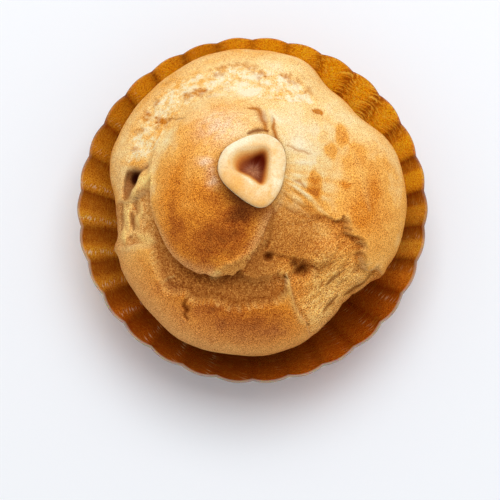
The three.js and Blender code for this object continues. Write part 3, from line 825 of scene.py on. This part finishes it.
def fleckGrains():  # each fleck is a cluster of small grains, and a few lie loose
    draw = np.random.default_rng(strew["seed"])
    strewn = []
    for px, py, half, by in flecks:
        for i in range(round(strew["least"] + strew["more"] * half)):
            strewn.append((px + draw.normal(0, strew["spreadX"] * half),
                           py + draw.normal(0, strew["spreadY"] * half),
                           draw.uniform(*strew["size"]), by * draw.uniform(*strew["strength"])))
    for i in range(strew["loose"]):
        strewn.append([draw.uniform(*limits) for limits in strew["looseIn"]])
    return strewn


def bakeTones(places, d, masks):
    x, y = shaken(places, baking["shake"])
    bake = baking["base"] + baking["sides"] * (1 - masks["upper"]) - baking["crumbly"] * masks["crumbly"]
    bake += baking["coast"] * masks["coast"] - wrinkles["browner"] * masks["wrinkled"]
    for *place, by in tones:
        bake += by * oval(x, y, *place) * masks["upper"]
    for *place, by in tornTones:
        bake += by * oval(x, y, *place) * masks["torn"]
    for *place, by in patches:
        bake += by * rise(oval(x, y, *place), *baking["patchFrom"]) * masks["upper"]
    for path, width, by in arcs:
        bake += by * bell(pathNear(x, y, path)[0], width) * masks["upper"]
    spots = np.zeros(len(x))
    for px, py, half, by in fleckGrains():
        away = np.hypot(places[:, 0] - px, places[:, 1] - py)
        onGrain = 1 - rise(away, baking["fleckInner"] * half, baking["fleckOuter"] * half)
        spots = np.maximum(spots, min(1, baking["fleckBy"] * by) * onGrain)
    inDot = reach(dot, places[:, 0], places[:, 1])
    rim = dot["rim"] * bell(inDot - dot["rimAt"], dot["rimHalf"])
    spots = np.maximum(spots, dot["fill"] * (1 - rise(inDot, *dot["edge"])) + rim)
    spots *= (1 - masks["onCrown"]) * masks["upper"]
    for path, width, by in stains:
        spots = np.maximum(spots, by * stroke(x, y, path, width))
    places -= d * (baking["spotDepth"] * spots)[:, None]
    return bake, spots


def paintSheen(places):  # patchy painted sheen on the crown
    paintedSheen = np.zeros(len(places))
    for *place, by in sheenSpots:
        paintedSheen = np.maximum(paintedSheen, by * oval(*places[:, :2].T, *place))
    patchy = np.clip(baking["sheenLeast"] + ruffle(places, *baking["sheenPatches"]), 0, 1)
    return paintedSheen * patchy * (places[:, 2] > baking["sheenAbove"])


def makeBun():
    piece = addPrimitive("chouxBun", bpy.ops.mesh.primitive_cube_add, size=2 * mm)
    bpy.ops.object.mode_set(mode="EDIT")
    bpy.ops.mesh.select_all(action="SELECT")
    bpy.ops.mesh.subdivide(number_cuts=bun["cuts"])
    bpy.ops.mesh.subdivide(number_cuts=bun["cuts"])
    bpy.ops.object.mode_set(mode="OBJECT")
    places, d, masks = shapeBody(piece)
    tearCrust(places, d, masks)
    raiseSeat(places)
    crumbleBack(places, d, masks)
    markCrust(places, masks)
    masks["bake"], masks["spots"] = bakeTones(places, d, masks)
    masks["nutShadow"] = pressSeat(places)
    places[:, 2] = np.maximum(places[:, 2], bun["seat"])
    # painted sheen on the crown
    masks["paintedSheen"] = paintSheen(places)
    setPlaces(piece, places)
    paint(piece, {name: masks[name] for name in crustLook["masks"]})
    weigh(piece, "steep", masks["steep"])
    applyModifier(piece, "SMOOTH", factor=bun["smoothBy"], iterations=bun["smoothTimes"],
                  vertex_group="steep")
    clear = rise(places[:, 2], *bun["clearOfSeat"])
    shares = {"crumb": masks["torn"] * clear, "crust": (1 - masks["torn"]) * clear}
    for group, size, by in bun["rough"]:
        weigh(piece, group, shares[group])
        applyModifier(piece, "DISPLACE", texture=clouds(group + "Rough", size), texture_coords="LOCAL",
                      vertex_group=group, strength=by * mm)
    bpy.ops.object.shade_smooth()
    return piece


crustLook = {  # blotches have a size, detail and roughness
    "blotches": [(9, 2, 0.55, 0.3), (3, 6, 0.66, 0.4)],  # and a strength
    "flakes": (2, 7, 0.75), "flakeEdge": (0.4, 0.6, -0.2, 0.2),
    "baked": [(0, (255, 238, 198)), (0.22, (254, 216, 148)), (0.45, (247, 177, 84)), (0.7, (226, 138, 44)),
              (0.88, (182, 97, 30)), (1, (132, 66, 20))],
    "grainSize": 0.22, "crustGrain": (2, 0.5), "crumbGrain": (0.8, 1.6),  # growth and least depth
    "crumbTone": (-0.8, 0.32), "sand": (0.6, 4, 0.55),
    "valley": [(0.15, (140, 78, 26)), (0.35, (184, 112, 46)), (0.55, (212, 142, 66)),
               (0.85, (246, 196, 118))],
    "strands": (0.38, 4, 0.65), "strandLength": 4.5,
    "strand": [(0.2, (150, 82, 24)), (0.42, (198, 120, 45)), (0.58, (224, 142, 56)), (0.8, (244, 178, 88)),
               (1, (255, 206, 124))],
    "masks": ["bake", "torn", "fibrous", "crumbly", "flank", "paleLipAndSheen", "crownSide", "paleAndHighlight", "paintedSheen",
              "spots", "nutShadow", "brownAndShade", "deep"],
    "tints": [("flank", 0.75, (226, 162, 100)), ("paleLipAndSheen", 0.6, (218, 162, 104)),
              ("crownSide", 0.7, (206, 138, 58)), ("paleAndHighlight", 0.85, (255, 212, 128)),
              ("paintedSheen", 1, (250, 212, 174)), ("spots", 1, (200, 114, 8)), ("nutShadow", 0.96, (88, 38, 10)),
              # brown with painted shade, then near-black painted shade, in the mouth, holes and cracks
              ("brownAndShade", 1, (138, 68, 8)), ("deep", 1, (58, 16, 2))],
    "matt": (0.55, 0.85), "specular": 0.03, "bump": (0.75, 0.16),
}


def crustMaterial():
    material, tree, shader = newMaterial("bakedChoux")
    place = objectPlace(tree)
    torn, fibrous, painted = attribute(tree, "torn"), attribute(tree, "fibrous"), attribute(tree, "bake")

    # browning, broken up by soft blotches and by firm flakes where the crust is crumbly
    bake = painted
    for *sizes, by in crustLook["blotches"]:
        blotchy = maths(tree, "SUBTRACT", noiseMap(tree, place, *sizes), 0.5)  # to both sides of 0
        bake = maths(tree, "MULTIPLY_ADD", blotchy, by, bake)
    flake = stretch(tree, noiseMap(tree, place, *crustLook["flakes"]), *crustLook["flakeEdge"])
    bake = maths(tree, "MULTIPLY_ADD", flake, attribute(tree, "crumbly"), bake)
    crust = ramp(tree, bake, crustLook["baked"])
    depth = maths(tree, "MULTIPLY_ADD", bake, *crustLook["crustGrain"])
    rough = maths(tree, "MULTIPLY", torn, maths(tree, "MULTIPLY_ADD", fibrous, *crustLook["crumbGrain"]))
    fine = placeGrain(tree, place, crustLook["grainSize"], maths(tree, "MAXIMUM", depth, rough))

    # torn crumb: sandy in the valley, in strands at the right
    tone = maths(tree, "MULTIPLY_ADD", painted, *crustLook["crumbTone"])
    sandy = maths(tree, "ADD", noiseMap(tree, place, *crustLook["sand"]), tone)
    lengthways = addNode(tree, "ShaderNodeMapping", {
        "Vector": place, "Scale": (crustLook["strandLength"], 1, 1),
        "Rotation": (0, 0, math.radians(crumb["towards"]))}, vector_type="TEXTURE").outputs[0]
    strands = maths(tree, "ADD", noiseMap(tree, lengthways, *crustLook["strands"]), tone)
    valley, strand = ramp(tree, sandy, crustLook["valley"]), ramp(tree, strands, crustLook["strand"])

    colour = tint(tree, torn, crust, tint(tree, fibrous, valley, strand))
    colour = tintByMasks(tree, colour, crustLook["tints"])
    plug(tree, shader, {
        "Base Color": tint(tree, 1, colour, fine["Tone"], "MULTIPLY"),
        "Specular IOR Level": crustLook["specular"],
        "Roughness": stretch(tree, torn, 0, 1, *crustLook["matt"]),
        "Normal": bumpOf(tree, fine["Height"], *crustLook["bump"])})
    return material


chouxBun = makeBun()
chouxBun.data.materials.append(crustMaterial())
print("bun made:", len(chouxBun.data.polygons), "faces")


# fluted case of thin amber plastic, with short ribs along its notches
case = {
    "height": 18, "baseRadius": 26.5, "rimRadius": 36.6, "wall": 0.45, "baseInset": 0.6,
    "fillet": 1.6, "filletFrom": 0.2, "filletRows": 5, "footMargin": 1.001,
    "flutes": 30, "fluteDepth": 0.55, "fluteFullAt": 0.3, "samples": 16,
    "unevenTurns": 6, "uneven": (0.25, 1, 1.7), "ribWander": (0.5, 3, 6.2),  # noise as above
    "ribPitch": 0.9, "ribDepth": 0.04, "rowsPerRib": 3,
    "rimBevel": 0.16, "rimReach": 0.12, "alongRim": 0.003, "mergeWithin": 0.001, "smoothAngle": 50,
}
wallMasks = {  # painted light and shade round the wall: mostly direction, spread and strength
    "litFrom": 70, "lit": [(330, 32, -0.36), (200, 14, 0.16)],
    "dim": [(108, 12, 0.4), (148, 20, 0.5), (357, 9, 0.4), (263, 26, 0.5)],
    "lowShade": [(300, 60, 0.28), (260, 30, 0.3)], "hatched": [(47, 24, 0.7)], "hatchedLeast": 0.12,
    "notchDark": [(215, 40, 0.25), (0, 50, 0.5), (140, 40, 0.35)], "notchDarkLeast": 0.45,
    "rimHighlight": [(225, 50, 1), (310, 45, 1)], "topEdge": (-0.5, -0.1),  # painted highlight on the rim at the lower left and lower right; topEdge is a height from the rim
    "left": (205, 55), "right": (3, 34), "frontRight": (330, 32),
    "bandLeft": (-0.4, 0.4), "bandRight": (0.15, 0.45),  # across a flute, -1 to 1
    "glintFront": 0.35, "glintAt": 0.5, "glintHalf": 0.13,
}


def wallSlope():
    return math.atan2(case["rimRadius"] - case["baseRadius"], case["height"])


def caseRows():  # radius and height of each row of the wall's outside, from the foot to the rim
    foot, fillet = case["baseRadius"] - case["fillet"], case["fillet"]
    rows = [(foot + fillet * math.sin(a), fillet * (1 - math.cos(a)))
            for a in np.linspace(case["filletFrom"], math.pi / 2 - wallSlope(), case["filletRows"])]
    radius, height = rows[-1]
    length = math.hypot(case["rimRadius"] - radius, case["height"] - height)
    count = round(length / case["ribPitch"]) * case["rowsPerRib"]
    for i in range(1, count + 1):
        rows.append((blend(radius, case["rimRadius"], i / count), blend(height, case["height"], i / count)))
    return rows


def raiseWall(foot):  # extrudes the selected loop row by row
    radius, height = foot, 0.0
    for nextRadius, nextHeight in caseRows():
        bpy.ops.mesh.extrude_region_move(
            TRANSFORM_OT_translate={"value": (0, 0, (nextHeight - height) * mm)})
        grow = nextRadius / radius
        bpy.ops.transform.resize(value=(grow, grow, 1), center_override=(0, 0, 0))
        radius, height = nextRadius, nextHeight


def fluteWall(piece, foot):  # rounded flutes with narrow notches, and ribs beside the notches
    places = getPlaces(piece)
    radius = np.hypot(places[:, 0], places[:, 1])
    azimuth = np.arctan2(places[:, 1], places[:, 0])
    ring = onRing(azimuth, case["unevenTurns"], 0 * azimuth)
    depth = case["fluteDepth"] * (1 + ruffle(ring, *case["uneven"]))
    full = rise(places[:, 2], case["fillet"], case["height"] * case["fluteFullAt"])
    arch = np.abs(np.cos(azimuth * case["flutes"] / 2))
    notch = (1 - arch) ** 2 * full
    upWall = places[:, 2] / math.cos(wallSlope())
    rib = np.cos(2 * math.pi * (upWall / case["ribPitch"] + ruffle(places, *case["ribWander"])))
    wave = depth * (arch - 0.5) * full + case["ribDepth"] * rib * np.sqrt(notch)
    grown = np.where(radius > foot * case["footMargin"], radius + wave, radius)
    places[:, :2] *= (grown / np.maximum(radius, tiny))[:, None]
    setPlaces(piece, places)
    turns = azimuth * case["flutes"] / (2 * math.pi)
    within = ((turns + 0.5) % 1) * 2 - 1  # -1 just after a notch, 1 just before the next
    beside = (1 - np.abs(within)) * math.pi * radius / case["flutes"]
    paint(piece, {"notch": notch, "beside": beside, "upWall": upWall})
    paintLight(piece, azimuth, places[:, 2], full, within)


def paintLight(piece, azimuth, height, full, within):  # light and shade round the wall
    degrees = np.degrees(azimuth)
    # painted light, brightest towards the key, with more painted light and shade at some sides
    lit = 0.5 + 0.5 * np.cos(azimuth - math.radians(wallMasks["litFrom"]))
    onLeft, onRight = facing(degrees, *wallMasks["left"]), facing(degrees, *wallMasks["right"])
    bands = np.maximum(onLeft * (1 - rise(within, *wallMasks["bandLeft"])),
                       onRight * rise(within, *wallMasks["bandRight"]))
    # painted glints beside the notches, at the left and front right
    glinting = np.maximum(onLeft, wallMasks["glintFront"] * facing(degrees, *wallMasks["frontRight"]))
    glint = glinting * bell(within - wallMasks["glintAt"], wallMasks["glintHalf"])
    # painted shade low on the wall, near the bun
    lowShade = 1 - rise(height, case["height"] / 2, case["height"])
    topEdge = rise(height - case["height"], *wallMasks["topEdge"])
    paint(piece, {
        "lit": lit + allFacing(degrees, wallMasks["lit"]),
        "dim": allFacing(degrees, wallMasks["dim"]),
        "shaded": full * bands,
        "glint": full * glint,
        "lowShade": lowShade * allFacing(degrees, wallMasks["lowShade"]),
        "hatched": wallMasks["hatchedLeast"] + allFacing(degrees, wallMasks["hatched"]),
        "notchDark": wallMasks["notchDarkLeast"] + allFacing(degrees, wallMasks["notchDark"]),
        "rimHighlight": topEdge * np.minimum(1, allFacing(degrees, wallMasks["rimHighlight"])),
    })


def makeCase():
    foot = case["baseRadius"] - case["fillet"]
    piece = addPrimitive("pastryCase", bpy.ops.mesh.primitive_circle_add, fill_type="NGON",
                         vertices=case["flutes"] * case["samples"], radius=foot * mm)
    bpy.ops.object.mode_set(mode="EDIT")
    bpy.ops.mesh.select_all(action="SELECT")
    bpy.ops.mesh.inset(thickness=case["baseInset"] * mm)
    bpy.ops.mesh.select_all(action="SELECT")
    bpy.ops.mesh.region_to_loop()
    raiseWall(foot)
    bpy.ops.mesh.select_all(action="SELECT")
    bpy.ops.mesh.remove_doubles(threshold=case["mergeWithin"] * mm)
    bpy.ops.mesh.normals_make_consistent(inside=False)
    bpy.ops.object.mode_set(mode="OBJECT")
    fluteWall(piece, foot)
    applyModifier(piece, "SOLIDIFY", thickness=case["wall"] * mm, offset=-1, use_even_offset=True)
    roundRim(piece)
    bpy.ops.object.shade_smooth_by_angle(angle=math.radians(case["smoothAngle"]))
    return piece


def roundRim(piece):  # bevels both edges of the rim
    bpy.ops.object.mode_set(mode="EDIT")
    bpy.ops.mesh.select_all(action="DESELECT")
    bpy.ops.mesh.select_mode(type="EDGE")
    bpy.ops.object.mode_set(mode="OBJECT")
    sharp = getPlaces(piece)[:, 2] > case["height"] - case["rimReach"]
    for edge in piece.data.edges:
        a, b = edge.vertices
        turn = piece.data.vertices[a].co.to_2d().angle_signed(piece.data.vertices[b].co.to_2d())
        edge.select = bool(sharp[a] and sharp[b] and abs(turn) > case["alongRim"])
    bpy.ops.object.mode_set(mode="EDIT")
    bpy.ops.mesh.bevel(offset=case["rimBevel"] * mm, segments=2)
    bpy.ops.object.mode_set(mode="OBJECT")


caseLook = {
    "grain": (0.3, 1.8),
    "amber": [(0, (196, 100, 18)), (0.06, (214, 114, 22)), (0.33, (250, 178, 54)), (0.67, (255, 172, 28)),
              (1, (255, 168, 20))],
    "wallShadeTints": [("shaded", 0.75, (160, 68, 7)), ("dim", 1, (146, 66, 8)), ("lowShade", 1, (104, 34, 4))],
    "notch": (132, 50, 4),
    "strokeSlant": 1.4, "strokesUp": 2, "strokesAcross": 0.6, "strokesRound": (400, 400, 0),
    "near": (0.8, 2.8, 1, 0),
    "strokes": [("ticks", 0.5, 0.55, (164, 78, 8)), ("between", 0.46, 0.38, (255, 204, 76)),
                ("paintedHighlight", 0.42, 0.39, (255, 242, 220))],
    "rimHighlightTints": [("rimHighlight", 1, (255, 244, 228))],
    "sockets": {"Roughness": 0.12, "IOR": 1.12, "Transmission Weight": 0.75, "Subsurface Weight": 1,
                "Subsurface Radius": (0.5, 0.3, 0.1), "Subsurface Scale": mm, "Coat Weight": 0.2,
                "Coat Roughness": 0.08},
    "bump": (0.5, 0.1),
}


def caseMaterial():
    material, tree, shader = newMaterial("amberPlastic")
    place = objectPlace(tree)
    beside, hatched = attribute(tree, "beside"), attribute(tree, "hatched")
    crinkle = placeGrain(tree, place, *caseLook["grain"])
    # amber from darker to brighter with the painted light
    amber = ramp(tree, attribute(tree, "lit"), caseLook["amber"])
    amber = tint(tree, 1, amber, crinkle["Tone"], "MULTIPLY")
    amber = tintByMasks(tree, amber, caseLook["wallShadeTints"])
    # painted shade in the notches, its strength set round the wall
    inNotch = maths(tree, "MULTIPLY", attribute(tree, "notch"), attribute(tree, "notchDark"))
    amber = tint(tree, inNotch, amber, rgb(*caseLook["notch"]))

    # short slanted strokes beside the notches: dark and light strokes, brighter as painted light on the lit
    # side, and painted glints at the left
    upWall = maths(tree, "MULTIPLY", attribute(tree, "upWall"), caseLook["strokesUp"])
    rows = addNode(tree, "ShaderNodeCombineXYZ", {
        "X": maths(tree, "MULTIPLY", beside, caseLook["strokesAcross"]),
        "Y": maths(tree, "MULTIPLY_ADD", beside, caseLook["strokeSlant"], upWall)}).outputs[0]
    rows = vectorMaths(tree, "ADD", rows, vectorMaths(tree, "MULTIPLY", place, caseLook["strokesRound"]))
    strokes = addNode(tree, "ShaderNodeTexNoise", {"Vector": rows, "Scale": 1, "Detail": 1}).outputs["Fac"]
    # the hatched mask puts the strokes' painted light and shade mostly on the lit side
    near = maths(tree, "MULTIPLY", stretch(tree, beside, *caseLook["near"]), hatched)
    shares = {"ticks": near, "between": hatched, "paintedHighlight": attribute(tree, "glint")}
    for name, low, high, towards in caseLook["strokes"]:
        share = maths(tree, "MULTIPLY", stretch(tree, strokes, low, high), shares[name])
        amber = tint(tree, share, amber, rgb(*towards))
    amber = tintByMasks(tree, amber, caseLook["rimHighlightTints"])
    plug(tree, shader, {
        "Base Color": amber, "Normal": bumpOf(tree, crinkle["Height"], *caseLook["bump"]),
        **caseLook["sockets"]})
    return material


pastryCase = makeCase()
pastryCase.data.materials.append(caseMaterial())
print("case made:", len(pastryCase.data.polygons), "faces")

for piece, node, slot in ((hazelnutHalf, "hazelnut_half", "hazelnut"),
                          (chouxBun, "choux_bun", "choux_crust"),
                          (pastryCase, "pastry_case", "amber_case")):
    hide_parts(node)
    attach(piece, "root")


# floor, light and camera
studio = {
    "floor": 3000, "floorTone": rgb(244, 247, 252), "floorRoughness": 0.6, "worldStrength": 0.54,
    "keyAzimuth": 77, "keyElevation": 67, "keyDistance": 900, "keySize": 650, "keyPower": 4.95,
}
camera = {
    "elevation": 81.5, "distance": 420, "sensor": 36, "nearClip": 10,
    "frameWidth": 500, "rimPixels": 174.15, "rimAt": (252.5, 208.5),
}


def makeFloor():
    floor = addPrimitive("floor", bpy.ops.mesh.primitive_plane_add, size=studio["floor"] * mm)
    material, tree, shader = newMaterial("whiteTable")
    plug(tree, shader, {"Base Color": studio["floorTone"], "Roughness": studio["floorRoughness"]})
    floor.data.materials.append(material)


def makeLight():
    world = bpy.data.worlds.new("whiteRoom")
    world.use_nodes = True
    background = world.node_tree.nodes["Background"]
    plug(world.node_tree, background, {"Color": (1, 1, 1, 1), "Strength": studio["worldStrength"]})
    scene.world = world
    azimuth, elevation = math.radians(studio["keyAzimuth"]), math.radians(studio["keyElevation"])
    towards = Vector((math.cos(azimuth) * math.cos(elevation), math.sin(azimuth) * math.cos(elevation),
                      math.sin(elevation)))
    bpy.ops.object.light_add(type="AREA", location=towards * studio["keyDistance"] * mm)
    key = bpy.context.object
    key.name = "softKey"
    key.rotation_euler = towards.to_track_quat("Z", "Y").to_euler()
    key.data.size = studio["keySize"] * mm
    key.data.energy = studio["keyPower"]


def makeCamera():
    focal = camera["rimPixels"] / case["rimRadius"] * camera["distance"]  # in pixels
    right = camera["rimAt"][0] - camera["frameWidth"] / 2
    up = camera["frameWidth"] / 2 - camera["rimAt"][1]
    elevation = math.radians(camera["elevation"])
    eye = Vector((-right / focal * camera["distance"], -math.cos(elevation) * camera["distance"],
                  math.sin(elevation) * camera["distance"] + case["height"]))
    bpy.ops.object.camera_add(location=eye * mm)
    lens = bpy.context.object
    lens.name = "photoCamera"
    lens.rotation_euler = (math.pi / 2 - elevation - math.atan(up / focal), 0, 0)
    lens.data.sensor_width = camera["sensor"]
    lens.data.lens = focal / camera["frameWidth"] * camera["sensor"]
    lens.data.clip_start = camera["nearClip"] * mm
    scene.camera = lens


makeFloor()
makeLight()
makeCamera()
scene.view_settings.view_transform = "Standard"
print("studio set")
